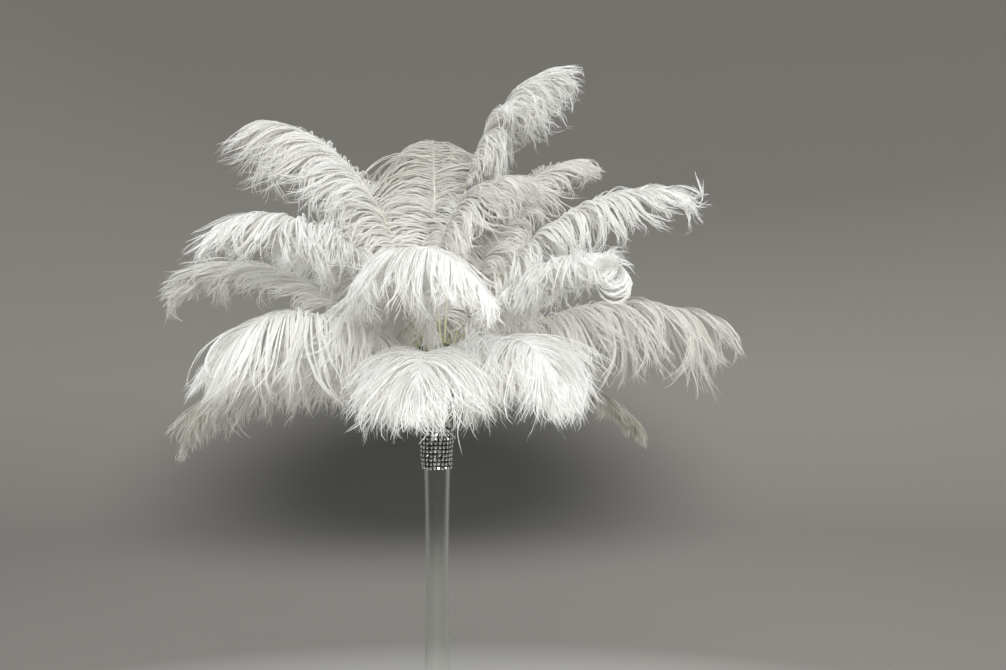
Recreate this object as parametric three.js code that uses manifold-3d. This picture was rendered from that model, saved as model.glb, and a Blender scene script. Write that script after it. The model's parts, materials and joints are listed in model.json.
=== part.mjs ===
// White ostrich-plume centrepiece: plumes pushed into a floral-foam ball that is pressed onto
// the mouth of a tall slim glass vase, with a rhinestone mesh band round the neck.
// Millimetres, +Z up. The origin is the centre of the underside of the vase's foot.
import * as THREE from "three";
import { mergeVertices } from "three/addons/utils/BufferGeometryUtils.js";
import Module from "manifold-3d";

const wasm = await Module();
wasm.setup();

// Driving dimensions
const gap = 0.35; // between pieces that touch
const rimHeight = 616; // height of the vase's mouth
const glassWall = 2.6;
const glassFloor = 14; // thickness of the bottom
const wellRounding = 8; // how much narrower the inside is at the bottom
const footRadius = 57.5;
const ballRadius = 50;
const ballHeight = 658; // height of the ball's centre
const bandBottom = 556;
const bandTop = 606;
const bandThickness = 2.6; // of the mesh and its stones
const quillRadius = 1.7;
const quillDepth = 26; // length of quill inside the ball
const socketRadius = 2.4; // of the six-sided hole for a quill
const bladeReach = 84; // how far the stiff part of the barbs reaches from the shaft
const bladeEdge = 0.7; // half the thickness of the blade at its edge
const thinStart = 0.4; // the same where the blade starts, as a share of it
const tipScale = 0.3; // width of the blade at its tip, as a share of its full width
const bareEnd = 0.16; // share of the length that is bare quill
const fullWidth = 0.5; // share of the length where the blade has its full width
const tipStart = 0.72; // share of the length where it starts to narrow
const levelNarrow = 0.3; // how much narrower a level blade is, since its barbs hang
const steepFall = 0.1; // how far the edge of an upright blade falls, as a share of its width
const levelFall = 0.45; // how much further the edge of a level blade falls
const fallPower = 1.6; // how late across the blade that fall comes
const droopPower = 1.7; // how late along the shaft its droop, nod and sweep come
const nodPower = 5;
const sweepPower = 1.2;
const grooveDepth = 12; // how far the vase's rim sinks into the ball
const groovePlay = 0.4; // extra room inside the rim, where the glass is narrower
const rodClearance = 0.5; // extra room round another plume's shaft
const neckColumn = { radius: 26, bottom: 400, top: 620 }; // kept free of blades round the neck

// How finely round shapes are made
const turnedSides = 32;
const rodSides = 6;
const columnSides = 24;
const ballFacets = [24, 16];
const clearBallFacets = [28, 18];
const shaftSteps = 60; // over the whole length of a shaft

const ballCentre = new THREE.Vector3(0, 0, ballHeight);
const up = new THREE.Vector3(0, 0, 1);

// Outside of the vase as radius and height, from the foot up to the mouth.
const vaseOutside = [
  [footRadius - 1.5, 0],
  [footRadius, 1.5],
  [footRadius, 6],
  [54, 16],
  [45, 42],
  [34, 88],
  [24, 160],
  [18, 240],
  [15.6, 320],
  [14, 400],
  [14.2, 480],
  [15.5, 555],
  [17.4, 604],
  [18, rimHeight],
];

// Each plume's shaft leaves the ball at azimuth az and elevation lift (degrees), sinks by droop
// and by nod near the tip, and turns sideways by sweep. rootAz and rootLift say where it
// enters the ball, where that isn't straight in line with the centre. length is in mm.
const plumes = [
  { name: "crown_right_tall", az: 35, lift: 86, droop: 62, nod: 26, length: 450, rootAz: 30, rootLift: 79 },
  {
    name: "crown_centre_back", az: 95, lift: 86, droop: 60, nod: 40,
    length: 352, rootAz: 105, rootLift: 79,
  },
  { name: "crown_left", az: 158, lift: 76, droop: 80, nod: 10, length: 440, rootAz: 165, rootLift: 71 },
  { name: "crown_right_back", az: 40, lift: 72, droop: 72, nod: 16, length: 385, rootAz: 32, rootLift: 64 },
  {
    name: "crown_right_inner", az: 35, lift: 98, droop: 116, nod: 60,
    length: 310, rootAz: -50, rootLift: 81,
  },
  { name: "crown_back", az: 112, lift: 74, droop: 92, nod: 20, length: 380, rootAz: 118, rootLift: 67 },
  { name: "mid_right_long", az: -4, lift: 62, droop: 88, nod: -10, length: 378 },
  { name: "mid_right_curl", az: -38, lift: 44, droop: 52, nod: 150, length: 332 },
  { name: "mid_left_front", az: 208, lift: 60, droop: 92, nod: 26, length: 340, rootAz: 200 },
  { name: "mid_left_back", az: 168, lift: 40, droop: 58, nod: 60, length: 358 },
  { name: "mid_back_left", az: 132, lift: 52, droop: 78, nod: 24, length: 370 },
  { name: "mid_back_right", az: 72, lift: 54, droop: 82, nod: 24, length: 375 },
  {
    name: "front_crest", az: -122, lift: 41, droop: 96, nod: 30,
    sweep: 118, length: 415, rootAz: -112, rootLift: 58,
  },
  { name: "low_left_front", az: 214, lift: 34, droop: 94, nod: 34, length: 282 },
  { name: "low_left_back", az: 163, lift: 8, droop: 62, nod: 24, length: 345 },
  { name: "low_right", az: 12, lift: 33, droop: 90, nod: -48, length: 364 },
  { name: "low_right_back", az: 38, lift: 4, droop: 60, nod: 10, length: 350 },
  { name: "low_back_left", az: 128, lift: 22, droop: 74, nod: 22, length: 350 },
  { name: "low_back", az: 92, lift: 30, droop: 92, nod: 20, length: 360 },
  { name: "low_back_right", az: 64, lift: 16, droop: 70, nod: 20, length: 350 },
  { name: "front_centre", az: -91, lift: 17, droop: 58, nod: 12, length: 280 },
  { name: "front_right", az: -60, lift: 24, droop: 80, nod: 16, length: 265 },
];

const glass = new THREE.MeshStandardMaterial({ color: 0xdfe3e0, roughness: 0.05, metalness: 0 });
const stones = new THREE.MeshStandardMaterial({ color: 0xb9babb, roughness: 0.15, metalness: 0.9 });
const foam = new THREE.MeshStandardMaterial({ color: 0x3f4a2c, roughness: 0.95, metalness: 0 });
const plume = new THREE.MeshStandardMaterial({ color: 0xf1efe9, roughness: 0.75, metalness: 0 });

function solidOf(geometry) {
  const bare = geometry.index ? geometry.toNonIndexed() : geometry.clone();
  bare.deleteAttribute("normal");
  bare.deleteAttribute("uv");
  const merged = mergeVertices(bare, 1e-3);
  const vertProperties = merged.attributes.position.array;
  const triVerts = new Uint32Array(merged.index.array);
  return new wasm.Manifold(new wasm.Mesh({ numProp: 3, vertProperties, triVerts }));
}

function geometryOf(solid) {
  const mesh = solid.getMesh();
  const geometry = new THREE.BufferGeometry();
  geometry.setAttribute("position", new THREE.BufferAttribute(mesh.vertProperties, 3));
  geometry.setIndex(new THREE.BufferAttribute(mesh.triVerts, 1));
  return geometry;
}

function turned(profile, segments) {
  const points = profile.map(([radius, z]) => new THREE.Vector2(radius, z));
  return new THREE.LatheGeometry(points, segments).rotateX(Math.PI / 2);
}

// Direction for an azimuth and an elevation in degrees.
function heading(az, lift) {
  const a = THREE.MathUtils.degToRad(az);
  const e = THREE.MathUtils.degToRad(lift);
  return new THREE.Vector3(Math.cos(e) * Math.cos(a), Math.cos(e) * Math.sin(a), Math.sin(e));
}

function liftAt(feather, t) {
  return feather.lift - feather.droop * t ** droopPower - feather.nod * t ** nodPower;
}

function azimuthAt(feather, t) {
  return feather.az + (feather.sweep ?? 0) * t ** sweepPower;
}

// Point of the shaft at t, from 0 at the ball's surface to 1 at the tip; below 0 it is in the ball.
function shaftPoint(feather, t) {
  const root = heading(feather.rootAz ?? feather.az, feather.rootLift ?? feather.lift);
  const point = root.multiplyScalar(ballRadius).add(ballCentre);
  if (t <= 0) return point.addScaledVector(heading(feather.az, feather.lift), t * feather.length);
  const steps = Math.ceil(t * shaftSteps);
  const stride = (t / steps) * feather.length;
  for (let i = 0; i < steps; i += 1) {
    const middle = ((i + 0.5) / steps) * t;
    point.addScaledVector(heading(azimuthAt(feather, middle), liftAt(feather, middle)), stride);
  }
  return point;
}

// Share of the full blade width at t: bare quill, then a quick swell and a rounded tip.
function bladeShape(t) {
  const swell = THREE.MathUtils.smoothstep(t, bareEnd, fullWidth);
  const tip = 1 - (1 - tipScale) * THREE.MathUtils.smoothstep(t, tipStart, 1);
  return swell * tip;
}

// Point of the blade's middle surface: s runs from -1 to 1 across it.
function bladePoint(feather, t, s, grow) {
  const clamped = Math.max(t, 0);
  const lift = THREE.MathUtils.degToRad(liftAt(feather, clamped));
  const az = THREE.MathUtils.degToRad(azimuthAt(feather, clamped));
  const side = new THREE.Vector3(-Math.sin(az), Math.cos(az), 0);
  const reach = bladeReach * bladeShape(clamped);
  const level = Math.max(Math.cos(lift), 0);
  const rounded = quillRadius * Math.sin((s * Math.PI) / 2);
  const across = rounded + (reach * (1 - levelNarrow * level) + grow) * s;
  const drop = reach * (steepFall + levelFall * level) * Math.abs(s) ** fallPower;
  return shaftPoint(feather, t).addScaledVector(side, across).addScaledVector(up, -drop);
}

const acrossStops = [-1, -0.5, 0, 0.5, 1];
const alongStops = [0, 0.1, 0.18, 0.27, 0.37, 0.47, 0.57, 0.67, 0.77, 0.86, 0.94, 1];

// Closed loop of points round the plume at t: over the top surface, then back underneath.
function plumeRing(feather, t, grow) {
  const small = 1e-3;
  const blade = Math.min(bladeShape(Math.max(t, 0)) * 3, 1); // whole from a third of the width on
  const over = [];
  const under = [];
  for (const s of acrossStops) {
    const point = bladePoint(feather, t, s, grow);
    const behind = bladePoint(feather, t - small, s, grow);
    const along = bladePoint(feather, t + small, s, grow).sub(behind);
    const inward = bladePoint(feather, t, s - small, grow);
    const wide = bladePoint(feather, t, s + small, grow).sub(inward);
    const normal = along.cross(wide).normalize();
    const isRound = s === 0 || blade < 1;
    const round = isRound ? quillRadius * Math.cos((s * Math.PI) / 2) : 0;
    const edge = bladeEdge * THREE.MathUtils.lerp(thinStart, 1, blade);
    const half = Math.max(round, edge) + grow;
    over.push(point.clone().addScaledVector(normal, half));
    under.unshift(point.clone().addScaledVector(normal, -half));
  }
  return [...over, ...under];
}

// Skin over a row of rings with the same number of points, closed by a fan at each end.
function loft(rings) {
  const count = rings[0].length;
  const positions = rings.flat().flatMap((p) => [p.x, p.y, p.z]);
  const index = [];
  for (let r = 0; r + 1 < rings.length; r += 1) {
    for (let i = 0; i < count; i += 1) {
      const a = r * count + i;
      const b = r * count + ((i + 1) % count);
      index.push(a, a + count, b, b, a + count, b + count);
    }
  }
  const last = (rings.length - 1) * count;
  for (let i = 0; i < count / 2 - 1; i += 1) {
    const j = count - 1 - i;
    index.push(i, i + 1, j, i + 1, j - 1, j);
    index.push(last + i, last + j, last + i + 1, last + i + 1, last + j, last + j - 1);
  }
  const geometry = new THREE.BufferGeometry();
  geometry.setAttribute("position", new THREE.Float32BufferAttribute(positions, 3));
  geometry.setIndex(index);
  return geometry;
}

function plumeSolid(feather, grow) {
  const inner = -(quillDepth + grow) / feather.length;
  const outer = 1 + (2 * grow) / feather.length;
  const stops = [inner, ...alongStops.slice(0, -1), outer];
  return solidOf(loft(stops.map((t) => plumeRing(feather, t, grow))));
}

// Plain round rod along the shaft, used to keep other blades off it.
function shaftSolid(feather, radius) {
  const inner = -(quillDepth + gap) / feather.length;
  const outer = 1 + (2 * gap) / feather.length;
  const stops = [inner, ...alongStops.slice(0, -1), outer];
  const rings = stops.map((t) => {
    const lift = liftAt(feather, Math.max(t, 0));
    const az = azimuthAt(feather, Math.max(t, 0));
    const side = heading(az + 90, 0);
    const rise = heading(az, lift + 90);
    const centre = shaftPoint(feather, t);
    return Array.from({ length: rodSides }, (_, i) => {
      const turn = (i * 2 * Math.PI) / rodSides;
      const point = centre.clone().addScaledVector(side, -radius * Math.cos(turn));
      return point.addScaledVector(rise, radius * Math.sin(turn));
    });
  });
  return solidOf(loft(rings));
}

function vaseSolid() {
  const inside = vaseOutside
    .filter(([, z]) => z > glassFloor)
    .map(([radius, z]) => [radius - glassWall, z])
    .reverse();
  const floorRadius = footRadius - glassWall - wellRounding;
  const profile = [[0, 0], ...vaseOutside, ...inside, [floorRadius, glassFloor], [0, glassFloor]];
  return solidOf(turned(profile, turnedSides));
}

// Outer radius of the vase at a height, straight between the points of its outline.
function vaseRadius(z) {
  const above = vaseOutside.findIndex((point) => point[1] >= z);
  const [lowRadius, lowZ] = vaseOutside[above - 1];
  const [highRadius, highZ] = vaseOutside[above];
  return lowRadius + ((highRadius - lowRadius) * (z - lowZ)) / (highZ - lowZ);
}

function bandSolid() {
  const heights = [bandBottom, (bandBottom + bandTop) / 2, bandTop];
  const outer = heights.map((z) => [vaseRadius(z) + gap + bandThickness, z]);
  const inner = heights.map((z) => [vaseRadius(z) + gap, z]).reverse();
  return solidOf(turned([...outer, ...inner, outer[0]], turnedSides));
}

// The ball, with a groove for the rim of the vase and a socket for each quill.
function ballSolid() {
  const ball = new THREE.SphereGeometry(ballRadius, ...ballFacets).rotateX(Math.PI / 2);
  ball.translate(...ballCentre);
  const rimRadius = vaseOutside.at(-1)[0];
  const grooveInside = rimRadius - glassWall - gap - groovePlay;
  const grooveOutside = rimRadius + gap;
  const grooveTop = rimHeight + gap;
  const grooveBottom = grooveTop - grooveDepth;
  const groove = turned(
    [
      [grooveInside, grooveBottom],
      [grooveOutside, grooveBottom],
      [grooveOutside, grooveTop],
      [grooveInside, grooveTop],
      [grooveInside, grooveBottom],
    ],
    turnedSides,
  );
  return plumes.reduce(
    (left, feather) => left.subtract(shaftSolid(feather, socketRadius)),
    solidOf(ball).subtract(solidOf(groove)),
  );
}

function largest(solid) {
  const bodies = solid.decompose();
  return bodies.reduce((best, body) => (body.volume() > best.volume() ? body : best));
}

// All plumes, each trimmed where another plume's shaft or an earlier plume's blade lies.
function plumeSolids() {
  const wide = new Map(plumes.map((feather) => [feather, plumeSolid(feather, gap)]));
  const clearShaft = quillRadius + gap + rodClearance;
  const { radius, bottom, top } = neckColumn;
  const outline = [[0, bottom], [radius, bottom], [radius, top], [0, top]];
  const column = turned(outline, columnSides);
  const ball = new THREE.SphereGeometry(ballRadius + gap, ...clearBallFacets).rotateX(Math.PI / 2);
  ball.translate(...ballCentre);
  const around = solidOf(column).add(solidOf(ball));
  return plumes.map((feather, i) => {
    let solid = plumeSolid(feather, 0);
    const own = shaftSolid(feather, quillRadius + gap);
    solid = solid.subtract(around.subtract(own));
    plumes.forEach((other, j) => {
      if (i === j) return;
      solid = solid.subtract(shaftSolid(other, clearShaft).subtract(own));
      if (j < i) solid = solid.subtract(wide.get(other).subtract(own));
    });
    return largest(solid);
  });
}

function part(name, solid, material) {
  const mesh = new THREE.Mesh(geometryOf(solid), material);
  mesh.name = name;
  return mesh;
}

const group = new THREE.Group();
group.add(part("glass_vase", vaseSolid(), glass));
group.add(part("rhinestone_band", bandSolid(), stones));
group.add(part("foam_ball", ballSolid(), foam));
const feathers = plumeSolids();
plumes.forEach((feather, i) => group.add(part(`feather_${feather.name}`, feathers[i], plume)));

export default group;
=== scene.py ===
import json
import math
import bmesh
import bpy
import numpy as np
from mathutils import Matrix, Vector

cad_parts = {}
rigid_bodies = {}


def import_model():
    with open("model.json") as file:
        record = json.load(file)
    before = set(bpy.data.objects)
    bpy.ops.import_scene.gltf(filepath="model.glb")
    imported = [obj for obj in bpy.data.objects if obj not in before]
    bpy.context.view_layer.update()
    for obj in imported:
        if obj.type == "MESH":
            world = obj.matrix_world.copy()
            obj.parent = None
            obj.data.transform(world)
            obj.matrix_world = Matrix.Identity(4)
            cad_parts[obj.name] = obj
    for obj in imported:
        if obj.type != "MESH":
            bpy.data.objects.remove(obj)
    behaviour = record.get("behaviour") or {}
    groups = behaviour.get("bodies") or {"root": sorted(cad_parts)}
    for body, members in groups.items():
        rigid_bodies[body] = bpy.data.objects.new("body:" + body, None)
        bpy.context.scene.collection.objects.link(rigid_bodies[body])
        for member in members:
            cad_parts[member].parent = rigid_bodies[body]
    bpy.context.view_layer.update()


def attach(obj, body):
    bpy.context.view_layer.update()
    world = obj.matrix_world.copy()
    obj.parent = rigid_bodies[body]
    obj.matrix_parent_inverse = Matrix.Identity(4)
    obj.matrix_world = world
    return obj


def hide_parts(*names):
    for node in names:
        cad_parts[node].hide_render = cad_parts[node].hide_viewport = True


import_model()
mm = 0.001


# Small helpers for vectors held in numpy arrays

def unit(vectors):
    return vectors / np.maximum(np.linalg.norm(vectors, axis=-1, keepdims=True), 1e-12)


def heading(azimuth, lift):
    a, e = np.radians(azimuth), np.radians(lift)
    return np.stack([np.cos(e) * np.cos(a), np.cos(e) * np.sin(a), np.sin(e)], -1)


def ease(x, low, high):  # smooth step from 0 at low to 1 at high
    t = np.clip((x - low) / (high - low), 0, 1)
    return t * t * (3 - 2 * t)


def makeObject(name, points, faces, material, smooth=True):
    mesh = bpy.data.meshes.new(name)
    faces = np.asarray(faces, np.int32)
    corners = faces.shape[1]
    mesh.vertices.add(len(points))
    mesh.vertices.foreach_set("co", np.asarray(points, np.float32).ravel())
    mesh.loops.add(faces.size)
    mesh.loops.foreach_set("vertex_index", faces.ravel())
    mesh.polygons.add(len(faces))
    mesh.polygons.foreach_set("loop_start", np.arange(0, faces.size, corners, dtype=np.int32))
    mesh.polygons.foreach_set("use_smooth", np.full(len(faces), smooth))
    mesh.update(calc_edges=True)
    mesh.validate()
    mesh.materials.append(material)
    piece = bpy.data.objects.new(name, mesh)
    bpy.context.scene.collection.objects.link(piece)
    return piece


def stand(piece, node):
    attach(piece, "root")
    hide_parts(node)


# Shader maths: a wire is one output socket, and an expression on wires adds Math nodes

class Wire:
    def __init__(self, finish, socket):
        self.finish = finish
        self.socket = socket

    def maths(self, operation, first, second):
        return self.finish.node("ShaderNodeMath", {"operation": operation}, {0: first, 1: second})

    def __sub__(self, other):
        return self.maths("SUBTRACT", self, other)

    def __rsub__(self, other):
        return self.maths("SUBTRACT", other, self)

    def __mul__(self, other):
        return self.maths("MULTIPLY", self, other)

    def __rmul__(self, other):
        return self.maths("MULTIPLY", other, self)

    def __truediv__(self, other):
        return self.maths("DIVIDE", self, other)

    def __rtruediv__(self, other):
        return self.maths("DIVIDE", other, self)

    def __lt__(self, other):
        return self.maths("LESS_THAN", self, other)

    def __gt__(self, other):
        return self.maths("GREATER_THAN", self, other)


class Finish:
    def __init__(self, name):
        self.material = bpy.data.materials.new(name)
        self.material.use_nodes = True
        self.tree = self.material.node_tree
        self.tree.nodes.clear()

    def node(self, kind, settings=None, sockets=None, output=0):
        made = self.tree.nodes.new(kind)
        for key, value in (settings or {}).items():
            if key == "stops":
                ramp = made.color_ramp.elements
                while len(ramp) < len(value):
                    ramp.new(0.5)
                for stop, (place, colour) in zip(ramp, value):
                    stop.position = place
                    stop.color = colour
            else:
                setattr(made, key, value)
        for key, value in (sockets or {}).items():
            if isinstance(value, Wire):
                self.tree.links.new(value.socket, made.inputs[key])
            else:
                made.inputs[key].default_value = value
        return Wire(self, made.outputs[output])

    def blendColour(self, factor, first, second):
        return self.node("ShaderNodeMix", {"data_type": "RGBA"}, {0: factor, 6: first, 7: second}, 2)

    def vector(self, operation, *values):
        output = 1 if operation == "LENGTH" else 0  # a length is a number, on the second socket
        return self.node(
            "ShaderNodeVectorMath", {"operation": operation}, dict(enumerate(values)), output
        )

    def surface(self, shader):
        out = self.tree.nodes.new("ShaderNodeOutputMaterial")
        self.tree.links.new(shader.socket, out.inputs["Surface"])
        return self.material


# Plumes: the shafts follow the same curves as the solids they stand for

ballCentre = np.array([0, 0, 658.0])
ballRadius = 50.0
quillDepth = 26.0

plumeCare = {
    "hairs": 4,             # fine fibres that make up one barb
    "steps": 10,            # pieces along each fibre
    "hairWidth": 0.9,       # mm
    "hairSpread": 1.5,      # mm, how far the fibres of a barb stand off its middle
    "shortest": 0.68,       # length of the shortest fibre of a barb as a share of the longest
    "shaftRadius": 1.75,    # mm at the quill
    "shaftSides": 8,
    "shaftRings": 44,
    "stripsInRow": 256,     # fibres side by side in the flat layout that colours are painted on
    "lastBarb": 0.87,       # share of the length where the shaft ends and barbs reach on past it
    "rootRise": 0.7,        # mm, how far the roots of the barbs lie above the shaft's middle
    "rootCross": 0.6,       # mm, how far they start on its other side, which half hides it
    "lockSizes": (5, 13),   # barbs that hang together in a lock, fewest and most
    "strandSizes": (1, 3),  # barbs that stick together in a strand
    "clearOfBall": 3.0,     # mm, room that the barbs keep from the ball
    "clearOfNeck": 25.0,    # mm, and from the middle of the vase's neck
    # length in mm that barbs wander sideways, over that many mm: whole locks, then single barbs
    "lockWave": (3.0, 85),
    "barbWaves": ((2.2, 44), (1.0, 21)),
}

shaftBend = {  # how late along the shaft each turn comes, as a power of the share of its length
    "droop": 1.7,
    "nod": 5,
    "sweep": 1.2,
}

plumes = {  # the way each shaft goes, then what its barbs do
    "crown_right_tall": dict(
        az=35, lift=86, droop=62, nod=26, length=450, rootAz=30, rootLift=79,
        reach=112, roll=-38, open=52, fall=2.2, dull=0.2, tipRoll=-12, barbs=250, first=0.42,
        swell=0.35, tilt=5, curl=1.8, gather=0.65, cling=0.8,
    ),
    "crown_centre_back": dict(
        az=95, lift=86, droop=60, nod=40, length=352, rootAz=105, rootLift=79,
        reach=160, fall=3.2, dull=0.7, open=66, gather=0.05, barbs=360, tipOpen=2.3,
        tipReach=0.8, hook=0.8, tilt=9, tipFall=1.5, cling=0.1,
    ),
    "crown_left": dict(
        az=158, lift=76, droop=80, nod=10, length=440, rootAz=165, rootLift=71,
        reach=136, roll=0, fall=2.4, dull=0.3, open=62, tipRoll=-9, gather=0.6, first=0.22,
        swell=0.6, tilt=6, curl=2.6, barbs=240, cling=0.75,
    ),
    "crown_right_back": dict(
        az=40, lift=72, droop=72, nod=16, length=385, rootAz=32, rootLift=64,
        reach=86, fall=1.6, dull=0.45, open=55,
    ),
    "crown_right_inner": dict(
        az=35, lift=98, droop=116, nod=60, length=310, rootAz=-50, rootLift=81,
        reach=90, fall=2, dull=0.42, gather=0.25, first=0.3, swell=0.4,
    ),
    "crown_back": dict(
        az=112, lift=74, droop=92, nod=20, length=380, rootAz=118, rootLift=67,
        barbs=175,
    ),
    "mid_right_long": dict(
        az=-4, lift=62, droop=88, nod=-10, length=378,
        reach=98, tipFall=0.6, flick=3.4, open=62, tipOpen=1.4, tipRoll=42, dull=0.2, fall=2.9,
        gather=0.8, tipReach=0.95, barbs=165, curl=1.8, cling=0.85,
    ),
    "mid_right_curl": dict(
        az=-38, lift=44, droop=52, nod=150, length=332,
        reach=74, hook=2.2, gather=0.35, dull=0, coil=330, tipReach=1.45, curl=2.6, barbs=262,
        cling=0.6,
    ),
    "mid_left_front": dict(
        az=208, lift=60, droop=92, nod=26, length=340, rootAz=200,
        reach=118, gather=0.75, dull=0.15, curl=2.2, hook=0.6, barbs=240, cling=0.8,
    ),
    "mid_left_back": dict(
        az=168, lift=40, droop=58, nod=60, length=358,
        reach=108, fall=1.1, open=46, dull=0.35, barbs=220,
    ),
    "mid_back_left": dict(
        az=132, lift=52, droop=78, nod=24, length=370,
        barbs=175, first=0.05, swell=0.85, gather=0.4,
    ),
    "mid_back_right": dict(
        az=72, lift=54, droop=82, nod=24, length=375,
        barbs=175, first=0.05, swell=0.85, gather=0.4,
    ),
    "front_crest": dict(
        az=-122, lift=41, droop=96, nod=30, sweep=118, length=415, rootAz=-112, rootLift=58,
        tilt=4, reach=94, first=0.1, swell=0.75, gather=0.35, barbs=330, tipRoll=15, curl=2.0,
        dull=0.06, tipReach=0.5, fall=3.2, hook=0.7,
    ),
    "low_left_front": dict(
        az=214, lift=34, droop=94, nod=34, length=282,
        reach=150, curl=2.6, gather=0.85, barbs=200, swell=0.95, hook=1.2, tipReach=0.5,
        fall=3.0, dull=0.08, cling=0.88,
    ),
    "low_left_back": dict(
        az=163, lift=8, droop=62, nod=24, length=345,
        reach=104, dull=0.75, barbs=190, gather=0.7, cling=0.85,
    ),
    "low_right": dict(
        az=12, lift=33, droop=90, nod=-48, length=364,
        reach=146, dull=0.6, curl=2.4, gather=0.85, tipFall=1.0, tipReach=0.62, barbs=170,
        fall=3.1, swell=0.9, hook=0.6, cling=0.8,
    ),
    "low_right_back": dict(
        az=38, lift=4, droop=60, nod=10, length=350,
        reach=58, dull=0.95, open=40, barbs=200,
    ),
    "low_back_left": dict(
        az=128, lift=22, droop=74, nod=22, length=350,
        barbs=175, first=0.05, swell=0.85, gather=0.4,
    ),
    "low_back": dict(
        az=92, lift=30, droop=92, nod=20, length=360,
        barbs=175, first=0.05, swell=0.85, gather=0.4,
    ),
    "low_back_right": dict(
        az=64, lift=16, droop=70, nod=20, length=350,
        barbs=175, first=0.05, swell=0.85, gather=0.4,
    ),
    "front_centre": dict(
        az=-91, lift=17, droop=58, nod=12, length=280,
        reach=122, first=0.03, swell=0.85, tipOpen=0.6, gather=0.15, barbs=370, hook=0.55,
        tipReach=0.52, fall=2.1, cling=0.35, dull=0,
    ),
    "front_right": dict(
        az=-60, lift=24, droop=80, nod=16, length=265,
        reach=118, first=0.05, swell=0.9, tipOpen=0.6, gather=0.18, barbs=330, hook=0.55,
        tipReach=0.55, fall=2.1, cling=0.35,
    ),
}

barbScatter = {  # how much a habit differs from lock to lock, and from barb to barb in one
    "reach": (0.06, 0.06),  # share of the length
    "open": (3, 5),         # degrees
    "tilt": (3, 6),         # degrees
    "fall": (0.2, 0.2),     # as a power of e
    "hook": (0.8, 0.3),     # share of the hook
    "drift": (0.4, 0.2),    # sideways, as a share of the way ahead
}

plumeColours = {
    "barb": (0.93, 0.932, 0.93, 1),
    "warmBarb": (0.905, 0.895, 0.86, 1),
    # painted shade: the dark grey beige that shaded plumes are mixed towards
    "paintedShadeBarb": (0.42, 0.395, 0.335, 1),
    "shaft": (0.82, 0.81, 0.75, 1),
    "quill": (0.45, 0.43, 0.28, 1),
    "lightThrough": (0.92, 0.917, 0.9, 1),
}

plumeHabit = {  # what a plume does unless its own row says otherwise
    "barbs": 280,      # on each side of the shaft
    "sweep": 0,        # degrees that the shaft turns sideways
    "reach": 112,      # mm, length of the longest barbs
    "fall": 2.3,       # how hard the barbs hang
    "tipFall": 1.0,    # the same for those at the tip, as a share of it
    "tipOpen": 1.0,    # how wide the barbs at the tip fan out
    "tipReach": 0.62,  # length of the barbs at the tip as a share of the longest
    "coil": 0,         # degrees that the barbs at the tip wind up in a ring
    "swell": 0.6,      # share of the full length that the barbs at the foot have
    "tilt": 14,        # degrees that the barbs rise off the vane before they fall
    "hook": 0.35,      # how much their ends curl back under
    "curl": 1.3,       # how much each end curls off its own way
    "gather": 0.5,     # how far the barbs of a lock draw together
    "cling": 0.6,      # how far two or three neighbours stick together
    "flick": 0.0,      # how much the barbs at the tip turn up
    "roll": 0,         # degrees that the vane is turned about its shaft
    "tipRoll": 0,      # the same at the tip
    "open": 76,        # degrees between the shaft and the barbs at its foot
    "dull": 0.0,       # painted shade: how much greyer and darker the plume is coloured where it lies in shade, and how much less light passes through it
    "first": 0.08,     # share of the length where its barbs start
}


def shaftFrame(plume, t):
    # Points, forward, side and top directions at the stations t, which may be below 0 in the ball.
    fine = np.linspace(0, 1, 241)
    middle = (fine[:-1] + fine[1:]) / 2

    def lift(x):
        droop, nod = x ** shaftBend["droop"], x ** shaftBend["nod"]
        return plume["lift"] - plume["droop"] * droop - plume["nod"] * nod

    def azimuth(x):
        return plume["az"] + plume["sweep"] * x ** shaftBend["sweep"]

    start = ballCentre + ballRadius * heading(plume["rootAz"], plume["rootLift"])
    steps = heading(azimuth(middle), lift(middle)) * plume["length"] / len(middle)
    path = start + np.concatenate([np.zeros((1, 3)), np.cumsum(steps, 0)])
    inside = np.clip(t, 0, 1)
    points = np.stack([np.interp(inside, fine, path[:, k]) for k in range(3)], -1)
    forward = heading(azimuth(inside), lift(inside))
    points += forward * (np.minimum(t, 0) * plume["length"])[..., None]
    side = heading(azimuth(inside) + 90, 0 * inside)
    top = np.cross(forward, side)
    roll = np.radians(plume["roll"] + (plume["tipRoll"] - plume["roll"]) * inside**2)[..., None]
    side, top = side * np.cos(roll) + top * np.sin(roll), top * np.cos(roll) - side * np.sin(roll)
    return points, forward, side, top


def tube(path, across, rise, radius, sides):
    # Closed round tube: points and triangles.
    turn = np.arange(sides) * 2 * np.pi / sides
    rings = path[:, None] + radius[:, None, None] * (
        across[:, None] * np.cos(turn)[:, None] + rise[:, None] * np.sin(turn)[:, None]
    )
    k = np.arange(len(path) - 1)[:, None] * sides
    i = np.arange(sides)[None]
    j = (i + 1) % sides
    a, b = k + i, k + j
    skin = np.stack([a, b, a + sides, b, b + sides, a + sides], -1).reshape(-1, 3)
    fan = np.arange(1, sides - 1)
    first = np.stack([0 * fan, fan + 1, fan], -1)
    last = np.stack([0 * fan, fan, fan + 1], -1) + (len(path) - 1) * sides
    return rings.reshape(-1, 3), np.concatenate([skin, first, last])


def ribbons(paths, across, width):
    # Flat strips along many paths at once: paths and across are (strip, step, 3) arrays.
    count, steps = paths.shape[:2]
    half = across * width[..., None] / 2
    points = np.stack([paths - half, paths + half], 2).reshape(-1, 3)
    a = (np.arange(count) * steps * 2)[:, None] + (np.arange(steps - 1) * 2)[None]
    faces = np.stack([a, a + 1, a + 2, a + 1, a + 3, a + 2], -1).reshape(-1, 3)
    return points, faces


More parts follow.
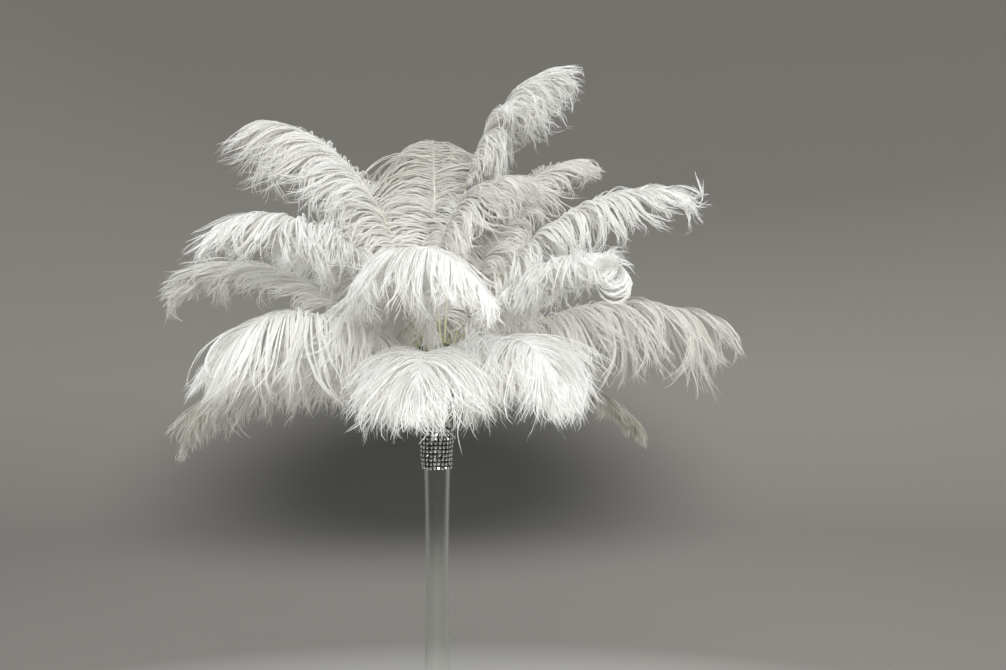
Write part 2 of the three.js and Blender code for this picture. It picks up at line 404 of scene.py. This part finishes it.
def groups(count, rng, smallest, largest):
    # Numbers neighbouring barbs by group, in groups of random size, and gives each one's middle.
    sizes = rng.integers(smallest, largest + 1, count)
    number = np.repeat(np.arange(count), sizes)[:count]
    edges = np.flatnonzero(np.diff(number)) + 1
    first = np.concatenate([[0], edges])
    last = np.concatenate([edges, [count]]) - 1
    return number, ((first + last) // 2)[number]


def barbPaths(plume, side, rng):
    care = plumeCare
    count, steps = plume["barbs"], care["steps"]
    place = (np.arange(count) + rng.random(count)) / count
    t = plume["first"] + (care["lastBarb"] - plume["first"]) * place
    points, forward, sideways, top = shaftFrame(plume, t)
    outward = side * sideways
    points = points + top * care["rootRise"] - outward * care["rootCross"]
    lock, lockMiddle = groups(count, rng, *care["lockSizes"])
    strand, strandMiddle = groups(count, rng, *care["strandSizes"])

    def byLock(spread):
        return rng.normal(0, spread, count)[lock]

    def byBarb(spread):
        return rng.normal(0, spread, count)

    def scatter(habit):
        shared, own = barbScatter[habit]
        return byLock(shared) + byBarb(own)

    swell = plume["swell"] + (1 - plume["swell"]) * ease(place, 0, 0.3)
    taper = 1 + (plume["tipReach"] - 1) * ease(place, 0.7, 1)
    reach = plume["reach"] * swell * taper * (1 + scatter("reach"))
    # degrees between the barbs and the shaft at four places from the foot to the tip
    opening = [plume["open"], plume["open"] - 16, 36 * plume["tipOpen"], 12 * plume["tipOpen"]]
    angle = np.radians(np.interp(place, [0, 0.6, 0.9, 1], opening) + scatter("open"))
    tilt = np.radians(plume["tilt"] + scatter("tilt"))
    leave = outward * np.cos(tilt)[:, None] + top * np.sin(tilt)[:, None]
    first = forward * np.cos(angle)[:, None] + leave * np.sin(angle)[:, None]
    slack = np.interp(place, [0, 0.6, 1], [1, 1, plume["tipFall"]])
    fall = plume["fall"] * slack * np.exp(scatter("fall"))
    hook = plume["hook"] * (1 + scatter("hook"))
    flick = plume["flick"] * ease(place, 0.7, 1) * (1 + byBarb(0.4))

    # each barb sets off from the shaft, then hangs, curls back under and strays to its own side
    u = np.linspace(0, 1, steps + 1) ** 0.75  # shorter pieces towards the curly end
    down = np.array([0, 0, -1.0])
    hang = fall[:, None] * u[None] - flick[:, None] * u[None] ** 3
    curl = hook[:, None] * u[None] ** 4 * 3
    drift = forward * scatter("drift")[:, None] + outward * scatter("drift")[:, None]
    twirl = rng.uniform(0, 2 * np.pi, count)[strand] + byBarb(0.5)
    end = (forward * np.cos(twirl)[:, None] + outward * np.sin(twirl)[:, None]) * plume["curl"]
    stray = drift[:, None] * u[None, :, None] ** 2 + end[:, None] * u[None, :, None] ** 4 * 2
    way = unit(first[:, None] + down * hang[..., None] - outward[:, None] * curl[..., None] + stray)
    if plume["coil"]:  # barbs at the tip go round in a ring instead
        turned = u[None] ** 0.8 * math.radians(plume["coil"]) * (1 + byBarb(0.12))[:, None]
        ring = forward[:, None] * np.cos(turned)[..., None] - top[:, None] * np.sin(turned)[..., None]
        ring += outward[:, None] * (0.35 * np.sin(byLock(2)))[:, None, None]
        way = way + (ring - way) * ease(place, 0.7, 0.82)[:, None, None]
    stride = (way[:, :-1] + way[:, 1:]) / 2 * np.diff(u)[None, :, None] * reach[:, None, None]
    paths = points[:, None] + np.concatenate([np.zeros((count, 1, 3)), np.cumsum(stride, 1)], 1)

    # barbs of a lock draw together towards the one in its middle
    for middle, pull, power in ((lockMiddle, plume["gather"], 2.2), (strandMiddle, plume["cling"], 1.6)):
        amount = pull * u[None] ** power * (1 - 0.45 * ease(u, 0.7, 1))[None]
        paths += (paths[middle] - paths) * amount[..., None]

    # slow waves that a whole lock shares, and smaller ones of each barb's own
    waves = [(byLock, *care["lockWave"])] + [(byBarb, *wave) for wave in care["barbWaves"]]
    for share, size, wave in waves:
        phase = share(6)[:, None] + u[None] * reach[:, None] * 2 * np.pi / wave
        grow = size * ease(u, 0.3, 1)[None]
        paths += forward[:, None] * (np.sin(phase) * grow)[..., None]
        paths += outward[:, None] * (np.cos(phase * 0.8) * grow)[..., None]
    return paths, place, forward, outward


def keepOutside(points):
    # Barbs lie over the ball and the neck of the vase instead of passing through them.
    away = points - ballCentre
    far = np.linalg.norm(away, axis=-1, keepdims=True)
    clear = ballRadius + plumeCare["clearOfBall"]
    points = np.where(far < clear, ballCentre + away / far * clear, points)
    level = points * [1, 1, 0]
    out = np.linalg.norm(level, axis=-1, keepdims=True)
    clear = plumeCare["clearOfNeck"]
    inNeck = (out < clear) & (points[..., 2:] < ballCentre[2])
    return np.where(inNeck, points + level / np.maximum(out, 1e-6) * (clear - out), points)


def hairsOf(paths, forward, rng):
    # Splits each barb into fibres that wander round its middle, and gives the strips' widths.
    care = plumeCare
    hairs = care["hairs"]
    count, stations = paths.shape[:2]
    u = np.linspace(0, 1, stations)[None]
    ahead = unit(np.gradient(paths, axis=1))
    across = forward[:, None] - ahead * np.sum(forward[:, None] * ahead, -1, keepdims=True)
    across = unit(across + 1e-4)
    rise = np.cross(ahead, across)
    allPaths, allAcross, allWidths = [], [], []
    for hair in range(hairs):
        # close together at the root and loose at the end
        spread = care["hairSpread"] * np.interp(u, [0, 0.15, 0.7, 1], [0.15, 0.8, 1.1, 2.2])
        phase = rng.random((count, 1)) * 2 * np.pi + u * rng.uniform(2, 7, (count, 1))
        size = spread * rng.uniform(0.3, 1.2, (count, 1))
        wander = across * (np.cos(phase) * size)[..., None] + rise * (np.sin(phase) * size)[..., None]
        short = rng.uniform(care["shortest"], 1.0, count)
        at = np.arange(stations)[None] * short[:, None]
        low = np.minimum(at.astype(int), stations - 2)
        part = (at - low)[..., None]
        rows = np.arange(count)[:, None]
        bundle = paths + wander
        bundle = bundle[rows, low] * (1 - part) + bundle[rows, low + 1] * part
        twist = rng.normal(0, 0.45, (count, 1)) + u**2 * rng.normal(0, 1.6, (count, 1))
        allPaths.append(bundle)
        allAcross.append(across * np.cos(twist)[..., None] + rise * np.sin(twist)[..., None])
        # widest just past the root, and down to a thin end
        width = care["hairWidth"] * np.interp(u, [0, 0.1, 0.6, 0.9, 1], [0.5, 1, 0.9, 0.55, 0.15])
        allWidths.append(width * rng.uniform(0.7, 1.3, (count, 1)))
    return np.concatenate(allPaths), np.concatenate(allAcross), np.concatenate(allWidths)


def stripSpots(strips, stations, number, rows):
    # Flat layout of the fibres for painting: rows of upright strips, one for each fibre.
    strip = number + np.arange(strips)[:, None, None]
    column, row = strip % plumeCare["stripsInRow"], strip // plumeCare["stripsInRow"]
    along = np.linspace(0.04, 0.96, stations)[None, :, None]
    u = (column + np.array([0.12, 0.88])) / plumeCare["stripsInRow"] + 0 * along
    v = (row + along) / rows + 0 * u
    return np.stack([u, v], -1).reshape(-1, 2)


def growPlume(name, material):
    plume = {"rootAz": plumes[name]["az"], "rootLift": plumes[name]["lift"], **plumeHabit, **plumes[name]}
    care = plumeCare
    rng = np.random.default_rng(sum(ord(letter) * (k + 7) for k, letter in enumerate(name)))
    points, faces, along, warm, dull, spots = [], [], [], [], [], []
    hairs = 2 * plume["barbs"] * care["hairs"]
    rows = math.ceil(hairs / care["stripsInRow"]) + 1  # the top one is for the shaft

    def add(newPoints, newFaces, newAlong, newWarm, newPlace, newSpots):
        faces.append(newFaces + sum(len(p) for p in points))
        points.append(newPoints)
        along.append(newAlong.ravel())
        warm.append(newWarm.ravel())
        # painted shade: half as strong at the foot of the plume as towards its tip
        dull.append(plume["dull"] * (0.5 + 0.5 * ease(newPlace.ravel(), 0.2, 0.8)))
        spots.append(newSpots)

    for side in (-1, 1):
        paths, place, forward, outward = barbPaths(plume, side, rng)
        paths, across, width = hairsOf(keepOutside(paths), forward, rng)
        shape = (*paths.shape[:2], 2)
        # barbs are warm by chance, and more so near the foot of the plume
        warmth = rng.random(len(place)) * 0.5 + 0.5 * (1 - ease(place, 0, 0.4))
        tint = np.tile(warmth, care["hairs"])
        far = np.tile(place, care["hairs"])
        u = np.linspace(0, 1, shape[1])
        add(
            *ribbons(paths, across, width),
            np.broadcast_to(u[None, :, None], shape),
            np.broadcast_to(tint[:, None, None], shape),
            np.broadcast_to(far[:, None, None], shape),
            stripSpots(shape[0], shape[1], 0 if side < 0 else hairs // 2, rows),
        )
    # shaft and quill
    rings, sides = care["shaftRings"], care["shaftSides"]
    end = care["lastBarb"]
    t = np.concatenate([[-quillDepth / plume["length"]], np.linspace(0, end, rings)])
    path, forward, sideways, top = shaftFrame(plume, t)
    radius = care["shaftRadius"] * np.interp(t, [0, 0.12, 0.7, end], [1, 0.95, 0.42, 0.15])
    shaft, skin = tube(path, sideways, top, radius, sides)
    u = np.linspace(0.01, 0.99, sides)
    u, v = np.meshgrid(u, (rows - 1 + np.linspace(0.04, 0.96, len(t))) / rows)
    add(
        shaft,
        skin,
        np.full(len(shaft), -1.0),
        np.repeat(1 - ease(t, 0.2, 0.75), sides),
        np.repeat(t, sides),
        np.stack([u, v], -1).reshape(-1, 2),
    )
    piece = makeObject(name, np.concatenate(points) * mm, np.concatenate(faces), material)
    for key, values in (("along", along), ("warm", warm), ("dull", dull)):
        attribute = piece.data.attributes.new(key, "FLOAT", "POINT")
        attribute.data.foreach_set("value", np.concatenate(values).astype(np.float32))
    corners = np.empty(len(piece.data.loops), np.int32)
    piece.data.loops.foreach_get("vertex_index", corners)
    layout = piece.data.uv_layers.new(name="OFBake")
    layout.data.foreach_set("uv", np.concatenate(spots)[corners].astype(np.float32).ravel())
    return piece


def plumeFinish():
    finish = Finish("plume")
    along = finish.node("ShaderNodeAttribute", {"attribute_name": "along"}, {}, 2)
    warm = finish.node("ShaderNodeAttribute", {"attribute_name": "warm"}, {}, 2)
    dull = finish.node("ShaderNodeAttribute", {"attribute_name": "dull"}, {}, 2)
    clean = finish.blendColour(warm, plumeColours["barb"], plumeColours["warmBarb"])
    # painted shade: barbs of shaded plumes are mixed towards a dark grey beige
    barb = finish.blendColour(dull, clean, plumeColours["paintedShadeBarb"])
    onShaft = along < -0.5  # the shaft and quill carry -1, the barbs 0 to 1
    shaft = finish.blendColour(warm, plumeColours["shaft"], plumeColours["quill"])
    colour = finish.blendColour(onShaft, barb, shaft)
    body = finish.node(
        "ShaderNodeBsdfPrincipled",
        {},
        {"Base Color": colour, "Roughness": 0.65, "Sheen Weight": 0.25, "Sheen Roughness": 0.5},
    )
    through = finish.node("ShaderNodeBsdfTranslucent", {}, {"Color": plumeColours["lightThrough"]})
    # plumes with painted shade also let less light through
    share = (1 - onShaft) * (0.5 - dull * 0.2)
    both = finish.node("ShaderNodeMixShader", {}, {0: share, 1: body, 2: through})
    return finish.surface(both)


plumeMaterial = plumeFinish()
for plumeName in plumes:
    piece = growPlume(plumeName, plumeMaterial)
    piece.name = "plume_" + plumeName
    stand(piece, "feather_" + plumeName)
grown = [piece for piece in bpy.data.objects if piece.name.startswith("plume_")]
print("plumes", len(grown), "triangles", sum(len(piece.data.polygons) for piece in grown))


# The vase and the ball are turned from an outline of radius and height in mm

def turn(outline, segments):
    outline = np.array(outline, float)
    angle = np.arange(segments) * 2 * np.pi / segments
    radius, z = outline[:, :1], outline[:, 1:]
    rings = np.stack([radius * np.cos(angle), radius * np.sin(angle), z + 0 * angle], -1)
    points = rings.reshape(-1, 3)
    k = np.arange(len(outline) - 1)[:, None] * segments
    i = np.arange(segments)[None]
    j = (i + 1) % segments
    faces = np.stack([k + i, k + j, k + j + segments, k + i + segments], -1).reshape(-1, 4)
    return points, faces


def closePoles(piece):
    # A point of the outline on the axis leaves a ring of one place: it is merged to one vertex.
    body = bmesh.new()
    body.from_mesh(piece.data)
    bmesh.ops.remove_doubles(body, verts=body.verts, dist=1e-6)
    body.to_mesh(piece.data)
    body.free()


def smoothLine(points, each):
    # Curve through all the points, with a number of steps between each two.
    p = np.array(points, float)
    p = np.concatenate([[2 * p[0] - p[1]], p, [2 * p[-1] - p[-2]]])
    u = (np.arange(each) / each)[:, None]
    parts = []
    for a, b, c, d in zip(p[:-3], p[1:-2], p[2:-1], p[3:]):
        bend = (2 * a - 5 * b + 4 * c - d) * u**2 + (3 * b - a - 3 * c + d) * u**3
        parts.append(b + 0.5 * ((c - a) * u + bend))
    return np.concatenate(parts + [p[-2:-1]])


vase = {
    "rimHeight": 616.0,
    "wall": 2.6,
    "floor": 14.0,
    "wellRounding": 8.0,
    "segments": 72,
    "tint": (0.965, 0.98, 0.97, 1),
}
vaseFoot = [(56.3, 0.0), (57.2, 1.2), (57.5, 3.4), (57.2, 6.5)]
vaseSide = [
    (57.2, 6.5), (54, 16), (45, 42), (34, 88), (24, 160), (18, 240), (15.6, 320),
    (14, 400), (14.2, 480), (15.5, 555), (17.4, 604), (17.9, 614.5),
]


def vaseRadius(z):
    side = np.array(vaseSide)
    return np.interp(z, side[:, 1], side[:, 0])


def makeVase():
    # up the outside, over a half round lip, down the inside and round into the floor of the well
    side = smoothLine(vaseSide, 6)
    wall, floor, rounding = vase["wall"], vase["floor"], vase["wellRounding"]
    turnIn = np.linspace(0, np.pi, 9)[1:-1]
    middle = side[-1, 0] - wall / 2
    lip = np.stack([middle + wall / 2 * np.cos(turnIn), side[-1, 1] + wall / 2 * np.sin(turnIn)], -1)
    inside = side[side[:, 1] > floor + rounding][::-1] - [wall, 0]
    low = inside[-1]
    turnFloor = np.linspace(0, np.pi / 2, 7)[1:]
    wellRadius = low[0] - rounding + rounding * np.cos(turnFloor)
    well = np.stack([wellRadius, low[1] - (low[1] - floor) * np.sin(turnFloor)], -1)
    outline = np.concatenate([[(0, 0)], vaseFoot[:-1], side, lip, inside, well, [(0, floor)]])
    finish = Finish("clear glass")
    body = finish.node(
        "ShaderNodeBsdfPrincipled",
        {},
        {
            "Base Color": vase["tint"],
            "Roughness": 0.0,
            "IOR": 1.3,  # low, for thin bright edges
            "Transmission Weight": 1.0,
            "Specular IOR Level": 0.25,
        },
    )
    points, faces = turn(outline, vase["segments"])
    piece = makeObject("clear_glass_vase", points * mm, faces, finish.surface(body))
    closePoles(piece)
    stand(piece, "glass_vase")


makeVase()
print("vase")

ball = {
    "segments": 72,
    "rings": 44,
    "grooveInside": 14.6,  # mm, radii of the groove that the rim of the vase sits in
    "grooveOutside": 18.4,
    "rimGap": 0.4,         # mm
    "pitDepth": 0.7,       # mm
    "darkFoam": (0.055, 0.075, 0.028, 1),
    "paleFoam": (0.11, 0.14, 0.06, 1),
}


def makeBall():
    rng = np.random.default_rng(5)
    rimTop = vase["rimHeight"] + ball["rimGap"]
    inner, outer = ball["grooveInside"], ball["grooveOutside"]

    def arc(first, last, count):
        a = np.linspace(first, last, count)
        return np.stack([ballRadius * np.sin(a), ballCentre[2] - ballRadius * np.cos(a)], -1)

    under = arc(0, math.asin(inner / ballRadius), 6)
    over = arc(math.asin(outer / ballRadius), math.pi, ball["rings"])
    outline = np.concatenate([under, [(inner, rimTop), (outer, rimTop)], over])
    points, faces = turn(outline, ball["segments"])
    away = points - ballCentre
    far = np.linalg.norm(away, axis=1, keepdims=True)
    pits = rng.random((len(points), 1)) * ball["pitDepth"] * (far > ballRadius - 0.1)
    points = points - away / np.maximum(far, 1) * pits * (np.hypot(points[:, :1], points[:, 1:2]) > 0.01)
    finish = Finish("floral foam")
    place = finish.node("ShaderNodeNewGeometry", {}, {}, 0)
    grain = finish.node("ShaderNodeTexNoise", {}, {"Vector": place, "Scale": 900.0, "Detail": 3.0})
    colour = finish.blendColour(grain, ball["darkFoam"], ball["paleFoam"])
    relief = finish.node("ShaderNodeBump", {}, {"Strength": 0.6, "Distance": 0.0006, "Height": grain})
    matt = {"Base Color": colour, "Roughness": 0.95, "Normal": relief}
    body = finish.node("ShaderNodeBsdfPrincipled", {}, matt)
    piece = makeObject("floral_foam_ball", points * mm, faces, finish.surface(body))
    closePoles(piece)
    stand(piece, "foam_ball")


makeBall()
print("ball")

band = {
    "bottom": 556.0,
    "top": 606.0,
    "rows": 10,
    "columns": 22,
    "cup": 4.5,        # mm across the silver cup of one stone
    "stone": 3.7,      # mm across the stone
    "loose": 1.6,      # mm that the band stands off the glass where its ends overlap
    "lean": 0.16,      # rad that the columns lean round the neck over the band's height
    "clear": 0.8,      # mm between the glass and the cups
    "overlapAt": 188,  # degrees round the neck
    "uneven": {"angle": 0.012, "height": 0.15, "radius": 0.1, "facing": 0.09},
    "darkSilver": (0.06, 0.06, 0.057, 1),
    "brightSilver": (0.2, 0.2, 0.193, 1),
    "greyStone": (0.6, 0.61, 0.62, 1),
    "whiteStone": (0.95, 0.95, 0.96, 1),
}


def makeBand():
    rng = np.random.default_rng(11)
    rows, columns = band["rows"], band["columns"]
    row, column = np.meshgrid(np.arange(rows), np.arange(columns), indexing="ij")
    height = (row.ravel() + 0.5) / rows

    def uneven(way, *shape):
        return rng.normal(0, band["uneven"][way], (rows * columns, *shape))

    angle = column.ravel() / columns * 2 * np.pi + height * band["lean"] + uneven("angle")
    z = band["bottom"] + height * (band["top"] - band["bottom"]) + uneven("height")
    overlap = np.exp(-((np.cos(angle - np.radians(band["overlapAt"])) - 1) ** 2) * 4)
    slack = band["loose"] * overlap * np.sin(height * np.pi)
    radius = vaseRadius(z) + band["clear"] + slack + uneven("radius")
    out = np.stack([np.cos(angle), np.sin(angle), 0.04 + 0 * angle], -1) + uneven("facing", 3)
    out = unit(out)
    side = unit(np.cross([0, 0, 1.0], out))
    rise = np.cross(out, side)
    centre = np.stack([radius * np.cos(angle), radius * np.sin(angle), z], -1)

    def stack(outline, sides, turnBy):
        # Rings of one stone or cup: outline holds (radius, height above the band) pairs.
        spin = np.arange(sides) * 2 * np.pi / sides + turnBy
        rings = []
        for r, h in outline:
            rings.append(
                centre[:, None]
                + out[:, None] * h
                + side[:, None] * r * np.cos(spin)[:, None]
                + rise[:, None] * r * np.sin(spin)[:, None]
            )
        points = np.stack(rings, 1)
        count, levels = points.shape[:2]
        base = (np.arange(count) * levels * sides)[:, None, None]
        k = (np.arange(levels - 1) * sides)[None, :, None]
        i = np.arange(sides)[None, None]
        j = (i + 1) % sides
        a, b = base + k + i, base + k + j
        skin = np.stack([a, b, a + sides, b, b + sides, a + sides], -1).reshape(-1, 3)
        fan = np.arange(1, sides - 1)[None]
        first = (np.arange(count) * levels * sides)[:, None]
        last = first + (levels - 1) * sides
        low = np.stack([first + 0 * fan, first + fan + 1, first + fan], -1).reshape(-1, 3)
        high = np.stack([last + 0 * fan, last + fan, last + fan + 1], -1).reshape(-1, 3)
        return points.reshape(-1, 3), np.concatenate([skin, low, high])

    cup = band["cup"] / 2
    cupPoints, cupFaces = stack([(cup * 1.25, -0.6), (cup * 1.3, 0.35), (cup * 1.05, 0.75)], 4, np.pi / 4)
    stone = band["stone"] / 2
    gemPoints, gemFaces = stack([(stone, 0.5), (stone, 0.85), (stone * 0.58, 1.5)], 8, np.pi / 8)
    silver = Finish("silver cups")
    place = silver.node("ShaderNodeNewGeometry", {}, {}, 0)
    wear = silver.node("ShaderNodeTexNoise", {}, {"Vector": place, "Scale": 700.0})
    shade = silver.blendColour(wear, band["darkSilver"], band["brightSilver"])
    metal = silver.node(
        "ShaderNodeBsdfPrincipled", {}, {"Base Color": shade, "Metallic": 1.0, "Roughness": 0.3}
    )
    crystal = Finish("foiled stones")
    place = crystal.node("ShaderNodeNewGeometry", {}, {}, 0)
    tint = crystal.node("ShaderNodeTexNoise", {}, {"Vector": place, "Scale": 400.0})
    shade = crystal.blendColour(tint, band["greyStone"], band["whiteStone"])
    gem = crystal.node(
        "ShaderNodeBsdfPrincipled",
        {},
        {
            "Base Color": shade,
            "Metallic": 1.0,
            "Roughness": 0.06,
            "Coat Weight": 1.0,
            "Coat Roughness": 0.0,
        },
    )
    points = np.concatenate([cupPoints, gemPoints])
    faces = np.concatenate([cupFaces, gemFaces + len(cupPoints)])
    piece = makeObject("rhinestone_mesh_band", points * mm, faces, silver.surface(metal), smooth=False)
    piece.data.materials.append(crystal.surface(gem))
    which = np.concatenate([np.zeros(len(cupFaces), np.int32), np.ones(len(gemFaces), np.int32)])
    piece.data.polygons.foreach_set("material_index", which)
    stand(piece, "rhinestone_band")


makeBand()
print("band")

# Stage: a pale floor that sweeps up into a grey wall all round, with a painted shadow on it behind the
# vase, three softboxes and a dim sky

studio = {
    "flat": 3.0,                      # m, radius of the level floor
    "wallRadius": 6.0,
    "wallHeight": 4.4,
    "sweepHeight": 2.5,
    "floorColour": (0.62, 0.61, 0.58, 1),
    "apronColour": (0.24, 0.231, 0.21, 1),
    "wallColour": (0.34, 0.328, 0.298, 1),
    "paintedShadowMiddle": (-0.25, 3.9, 0.0),  # m, middle of the painted shadow, where the wall and floor are drawn darkest
    "paintedShadowSpan": (1.1, 1.5, 0.72),     # m, how far the painted shadow reaches
    # painted shadow: colour of the dark patch painted on the wall and floor behind the vase
    "paintedShadowColour": (0.05, 0.049, 0.045, 1),
    "sky": (0.9, 0.92, 0.95, 1),
    "skyStrength": 0.56,
}


def makeStage():
    sweep = np.linspace(0, np.pi / 2, 24)
    bend = studio["wallRadius"] - studio["flat"]
    rise = studio["sweepHeight"] * (1 - np.cos(sweep))
    curve = np.stack([studio["flat"] + bend * np.sin(sweep), rise], -1)
    outline = np.concatenate([[(0, 0)], curve, [(studio["wallRadius"], studio["wallHeight"])]])
    outline -= [0, 0.001]  # the foot of the vase stands just clear of it
    finish = Finish("studio sweep")
    place = finish.node("ShaderNodeNewGeometry", {}, {}, 0)
    far = finish.vector("LENGTH", place)
    share = far / studio["wallRadius"]
    stops = [  # share of the wall's radius and the colour from there on
        (0.14, studio["floorColour"]),
        (0.24, studio["apronColour"]),
        (0.55, studio["apronColour"]),
        (0.8, studio["wallColour"]),
    ]
    level = finish.node("ShaderNodeValToRGB", {"stops": stops}, {0: share})
    # painted shadow: the wall and floor are darkened in a soft patch behind the vase, where its shadow
    # would fall
    aside = finish.vector("SUBTRACT", place, studio["paintedShadowMiddle"])
    squash = finish.vector("DIVIDE", aside, studio["paintedShadowSpan"])
    reach = finish.vector("LENGTH", squash)
    soft = {"interpolation_type": "SMOOTHSTEP"}
    paintedShadow = finish.node("ShaderNodeMapRange", soft, {0: reach, 1: 1.3, 2: 0.35})
    colour = finish.blendColour(paintedShadow, level, studio["paintedShadowColour"])
    body = finish.node("ShaderNodeBsdfPrincipled", {}, {"Base Color": colour, "Roughness": 0.9})
    points, faces = turn(outline, 96)
    piece = makeObject("studio_sweep", points, faces, finish.surface(body))
    closePoles(piece)


softboxes = {  # place and target in m, width in m, power in W
    "key": dict(place=(0.2, -2.9, 1.9), target=(0, 0, 0.7), width=2.2, power=124),
    "fill": dict(place=(2.4, -2.4, 2.8), target=(0, 0, 0.7), width=1.8, power=38),
    "back": dict(place=(0.8, 3.4, 3.9), target=(0, 0, 0.6), width=2.0, power=80),
}


def softbox(name, place, target, width, power):
    light = bpy.data.lights.new(name, "AREA")
    light.shape = "RECTANGLE"
    light.size = light.size_y = width
    light.energy = power
    lamp = bpy.data.objects.new(name, light)
    lamp.location = place
    lamp.rotation_euler = (Vector(target) - Vector(place)).to_track_quat("-Z", "Y").to_euler()
    bpy.context.scene.collection.objects.link(lamp)


makeStage()
for name, values in softboxes.items():
    softbox(name, **values)

world = bpy.data.worlds.new("sky")
world.use_nodes = True
world.node_tree.nodes["Background"].inputs["Color"].default_value = studio["sky"]
world.node_tree.nodes["Background"].inputs["Strength"].default_value = studio["skyStrength"]
bpy.context.scene.world = world
print("stage")

# The camera stands level with the plumes, a little to the right of the vase

view = {"place": (0.079, -1.510, 0.717), "lens": 45, "sensor": 36}
camera = bpy.data.objects.new("camera", bpy.data.cameras.new("camera"))
camera.location = view["place"]
camera.rotation_euler = (math.radians(90), 0, 0)
camera.data.lens = view["lens"]
camera.data.sensor_width = view["sensor"]
bpy.context.scene.collection.objects.link(camera)
bpy.context.scene.camera = camera
bpy.context.scene.view_settings.view_transform = "Standard"
bpy.context.scene.cycles.diffuse_bounces = 8  # light goes on from plume to plume
